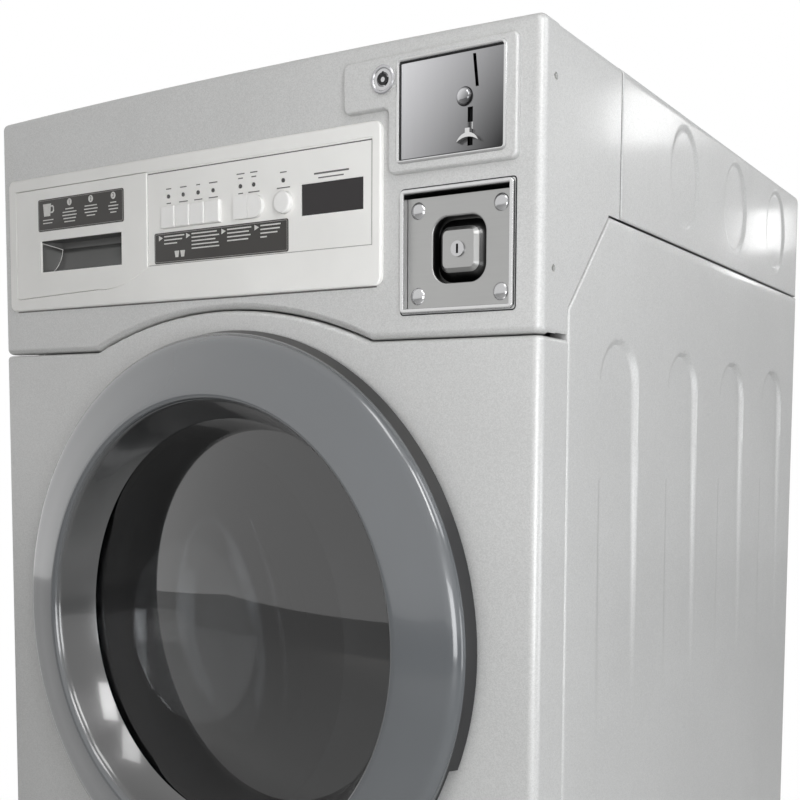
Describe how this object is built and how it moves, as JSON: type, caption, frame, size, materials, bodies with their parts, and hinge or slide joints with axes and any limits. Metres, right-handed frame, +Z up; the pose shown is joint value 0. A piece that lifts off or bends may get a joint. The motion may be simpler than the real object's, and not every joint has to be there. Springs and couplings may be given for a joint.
{
  "type": "commercial front-load washer",
  "caption": "Coin-operated front-load washer with a round hinged door, detergent drawer, key panel, coin drop and lockable coin box on a silver cabinet.",
  "frame": {"origin": "on the floor, under the middle of the outer box", "axes": "+X right seen from the front, +Y towards the back, +Z up"},
  "size_m": [0.686, 0.77, 1.111],
  "materials": {
    "cabinet_paint": "silver metallic satin",
    "zinc_sheet": "zinc coated",
    "feet": "black",
    "fascia_white": "warm white satin",
    "display": "dark red tint",
    "lamp_red": "tinted",
    "board_green": "circuit board",
    "tray_plastic": "grey white",
    "key_grey": "light grey",
    "bezel_metal": "satin",
    "lock_chrome": "bright",
    "mechanism": "dull",
    "ring_grey": "dark silver",
    "dark_plastic": "black",
    "door_glass": "dark clear",
    "steel_parts": "zinc",
    "rubber": "black",
    "tub_plastic": "grey white",
    "weight_iron": "painted",
    "drum_steel": "polished",
    "lifter_plastic": "light grey",
    "cast_alloy": "cast",
    "valve_plastic": "white"
  },
  "bodies": {
    "cabinet": {"base_frame": "zinc_sheet", "levelling_feet": "feet", "left_side_panel": "cabinet_paint", "right_side_panel": "cabinet_paint", "rear_panel": "zinc_sheet", "front_panel": "cabinet_paint", "console_shell": "cabinet_paint", "top_cover": "cabinet_paint", "control_fascia": "fascia_white", "display_window": "display", "indicator_leds": "lamp_red", "control_board": "board_green", "dispenser_housing": "tray_plastic", "coin_bezel": "cabinet_paint", "coin_drop_plate": "bezel_metal", "coin_acceptor": "mechanism", "vault_housing": "bezel_metal", "door_interlock": "dark_plastic", "hinge_bracket": "steel_parts", "door_gasket": "rubber", "inlet_valve": "valve_plastic", "fill_hose": "rubber", "dispenser_hose": "rubber", "drain_pump": "dark_plastic", "sump_hose": "rubber", "top_brace": "zinc_sheet", "suspension_springs": "steel_parts", "damper_cylinders": "mechanism", "panel_screws": "steel_parts", "cord_gland": "dark_plastic"},
    "tub": {"tub_front": "tub_plastic", "tub_rear": "tub_plastic", "counterweights": "weight_iron", "shaft_bearings": "steel_parts", "drive_motor": "mechanism", "damper_rods": "steel_parts", "drive_belt": "rubber"},
    "drum": {"drum_shell": "drum_steel", "drum_lifters": "lifter_plastic", "drum_spider": "cast_alloy", "drum_pulley": "cast_alloy"},
    "motor_rotor": {"motor_pulley": "steel_parts"},
    "door": {"door_ring": "ring_grey", "door_rear_frame": "dark_plastic", "door_glass": "door_glass", "hinge_leaf": "steel_parts", "latch_hook": "steel_parts"},
    "drawer": {"drawer_front": "fascia_white", "drawer_tray": "tray_plastic"},
    "coin_return": {"coin_return_lever": "lock_chrome"},
    "coin_lock": {"coin_lock_plug": "lock_chrome"},
    "coin_box": {"coin_box": "bezel_metal"},
    "vault_lock": {"vault_lock_plug": "lock_chrome"},
    "cycle_button_1": {"cycle_button_1": "key_grey"},
    "cycle_button_2": {"cycle_button_2": "key_grey"},
    "cycle_button_3": {"cycle_button_3": "key_grey"},
    "cycle_button_4": {"cycle_button_4": "key_grey"},
    "option_button_1": {"option_button_1": "key_grey"},
    "option_button_2": {"option_button_2": "key_grey"},
    "start_button": {"start_button": "key_grey"}
  },
  "joints": [
    {"name": "door_swing", "type": "hinge", "parent": "cabinet", "child": "door", "pos_m": [-0.257, -0.362, 0.586], "axis": [0, 0, -1], "range_deg": [0, 150]},
    {"name": "tub_float", "type": "slide", "parent": "cabinet", "child": "tub", "axis": [0, 0, 1], "range_m": [-0.012, 0.012], "stiffness_N_per_m": 30000, "springref_m": 0.01704, "deforming": ["suspension_springs", "sump_hose", "dispenser_hose", "door_gasket"]},
    {"name": "drum_spin", "type": "hinge", "parent": "tub", "child": "drum", "pos_m": [0.005, 0.1, 0.586], "axis": [0, 1, 0], "continuous": true},
    {"name": "motor_spin", "type": "hinge", "parent": "tub", "child": "motor_rotor", "pos_m": [0.005, 0.2, 0.195], "axis": [0, 1, 0], "continuous": true},
    {"name": "drawer_slide", "type": "slide", "parent": "cabinet", "child": "drawer", "axis": [0, -1, 0], "range_m": [0, 0.2]},
    {"name": "coin_return_press", "type": "slide", "parent": "cabinet", "child": "coin_return", "axis": [0, 0, -1], "range_m": [0, 0.006], "stiffness_N_per_m": 200, "springref_m": -0.001},
    {"name": "coin_lock_turn", "type": "hinge", "parent": "cabinet", "child": "coin_lock", "pos_m": [0.19, -0.345, 1.073], "axis": [0, 1, 0], "range_deg": [0, 90]},
    {"name": "coin_box_slide", "type": "slide", "parent": "cabinet", "child": "coin_box", "axis": [0, -1, 0], "range_m": [0, 0.18]},
    {"name": "vault_lock_turn", "type": "hinge", "parent": "coin_box", "child": "vault_lock", "pos_m": [0.2615, -0.345, 0.92725], "axis": [0, 1, 0], "range_deg": [0, 90]},
    {"name": "cycle_button_1_press", "type": "slide", "parent": "cabinet", "child": "cycle_button_1", "axis": [0, 1, 0], "range_m": [0, 0.0025], "stiffness_N_per_m": 300},
    {"name": "cycle_button_2_press", "type": "slide", "parent": "cabinet", "child": "cycle_button_2", "axis": [0, 1, 0], "range_m": [0, 0.0025], "stiffness_N_per_m": 300},
    {"name": "cycle_button_3_press", "type": "slide", "parent": "cabinet", "child": "cycle_button_3", "axis": [0, 1, 0], "range_m": [0, 0.0025], "stiffness_N_per_m": 300},
    {"name": "cycle_button_4_press", "type": "slide", "parent": "cabinet", "child": "cycle_button_4", "axis": [0, 1, 0], "range_m": [0, 0.0025], "stiffness_N_per_m": 300},
    {"name": "option_button_1_press", "type": "slide", "parent": "cabinet", "child": "option_button_1", "axis": [0, 1, 0], "range_m": [0, 0.0025], "stiffness_N_per_m": 300},
    {"name": "option_button_2_press", "type": "slide", "parent": "cabinet", "child": "option_button_2", "axis": [0, 1, 0], "range_m": [0, 0.0025], "stiffness_N_per_m": 300},
    {"name": "start_button_press", "type": "slide", "parent": "cabinet", "child": "start_button", "axis": [0, 1, 0], "range_m": [0, 0.0025], "stiffness_N_per_m": 300}
  ],
  "couplings": [
    {"joint": "motor_spin", "follows": "drum_spin", "ratio": 8.3333}
  ]
}
